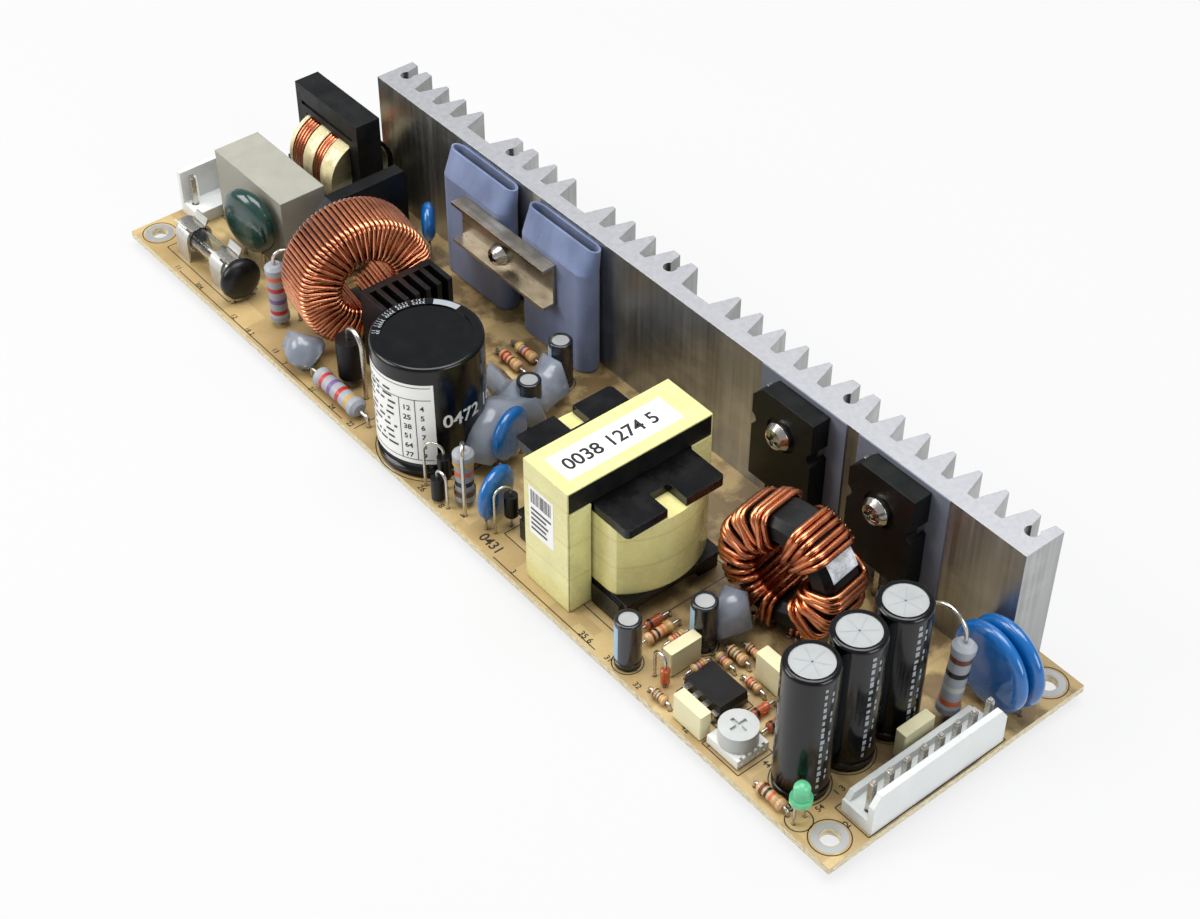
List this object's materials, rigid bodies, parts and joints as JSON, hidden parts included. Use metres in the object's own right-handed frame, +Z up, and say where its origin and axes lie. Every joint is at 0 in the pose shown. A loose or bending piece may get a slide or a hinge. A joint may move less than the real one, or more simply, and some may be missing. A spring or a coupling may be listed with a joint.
{
  "type": "open frame power supply",
  "caption": "Open frame mains power supply: circuit board with input filter, toroid chokes, transformer, capacitors and an extruded finned heat sink along one edge.",
  "frame": {"origin": "under the middle of the circuit board, level with the tips of the solder joints", "axes": "+X along the board from the mains input to the low voltage output, +Y towards the heat sink, +Z up out of the component side"},
  "size_m": [0.2233, 0.062, 0.0346],
  "materials": {
    "board": "satin",
    "solder": "satin",
    "anodised": "satin",
    "zinc_screw": "polished",
    "clip_steel": "satin",
    "sleeve_rubber": "matte",
    "package_black": "satin",
    "tinned": "satin",
    "pad_rubber": "matte",
    "nylon": "satin",
    "fuse_glass": "polished",
    "thermistor_black": "satin",
    "varistor_green": "gloss",
    "capacitor_box": "matte",
    "ferrite": "matte",
    "bobbin_black": "satin",
    "copper": "gloss",
    "yellow_tape": "gloss",
    "core_grey": "satin",
    "black_anodised": "satin",
    "can_sleeve": "satin",
    "small_can_sleeve": "satin",
    "ceramic_blue": "gloss",
    "resistor_grey": "satin",
    "resistor_tan": "satin",
    "diode_glass": "gloss",
    "film_cream": "satin",
    "trimmer_white": "satin",
    "rotor_grey": "satin",
    "led_green": "gloss",
    "silicone": "satin"
  },
  "bodies": {
    "supply": {"circuit_board": "board", "solder_joints": "solder", "heat_sink": "anodised", "heat_sink_screws": "zinc_screw", "sleeve_1": "sleeve_rubber", "sleeve_2": "sleeve_rubber", "power_transistors": "package_black", "transistor_frames": "tinned", "clip_bar": "clip_steel", "clip_screw": "zinc_screw", "thermal_pads": "pad_rubber", "output_rectifier_1": "package_black", "output_rectifier_2": "package_black", "rectifier_frames": "tinned", "rectifier_screws": "zinc_screw", "inlet_header": "nylon", "output_header": "nylon", "connector_pins": "tinned", "fuse_tube": "fuse_glass", "fuse_caps": "tinned", "fuse_clips": "tinned", "thermistor": "thermistor_black", "varistor": "varistor_green", "x_capacitor": "capacitor_box", "filter_core": "ferrite", "filter_bobbin": "bobbin_black", "filter_coils": "copper", "filter_tape": "yellow_tape", "bridge_rectifier": "package_black", "pfc_core": "core_grey", "pfc_winding": "copper", "small_heat_sink": "black_anodised", "bulk_capacitor": "can_sleeve", "ceramic_capacitors": "ceramic_blue", "power_resistors": "resistor_grey", "standing_diodes": "package_black", "component_leads": "tinned", "looped_leads": "tinned", "axial_leads": "tinned", "small_capacitors": "small_can_sleeve", "transformer_core": "ferrite", "transformer_tape": "yellow_tape", "transformer_bobbin": "bobbin_black", "transformer_winding": "yellow_tape", "transformer_pins": "tinned", "choke_core": "ferrite", "choke_winding": "copper", "output_capacitor_1": "can_sleeve", "output_capacitor_2": "can_sleeve", "output_capacitor_3": "can_sleeve", "film_capacitors": "film_cream", "control_ic": "package_black", "ic_pins": "tinned", "small_resistors": "resistor_tan", "glass_diodes": "diode_glass", "trimmer_base": "trimmer_white", "led": "led_green", "silicone_beads": "silicone"},
    "trimmer": {"trimmer_rotor": "rotor_grey"}
  },
  "joints": [
    {"name": "trimmer_turn", "type": "hinge", "parent": "supply", "child": "trimmer", "pos_m": [0.0826, -0.0254, 0.0058], "axis": [0, 0, 1], "range_deg": [-120, 120]}
  ]
}
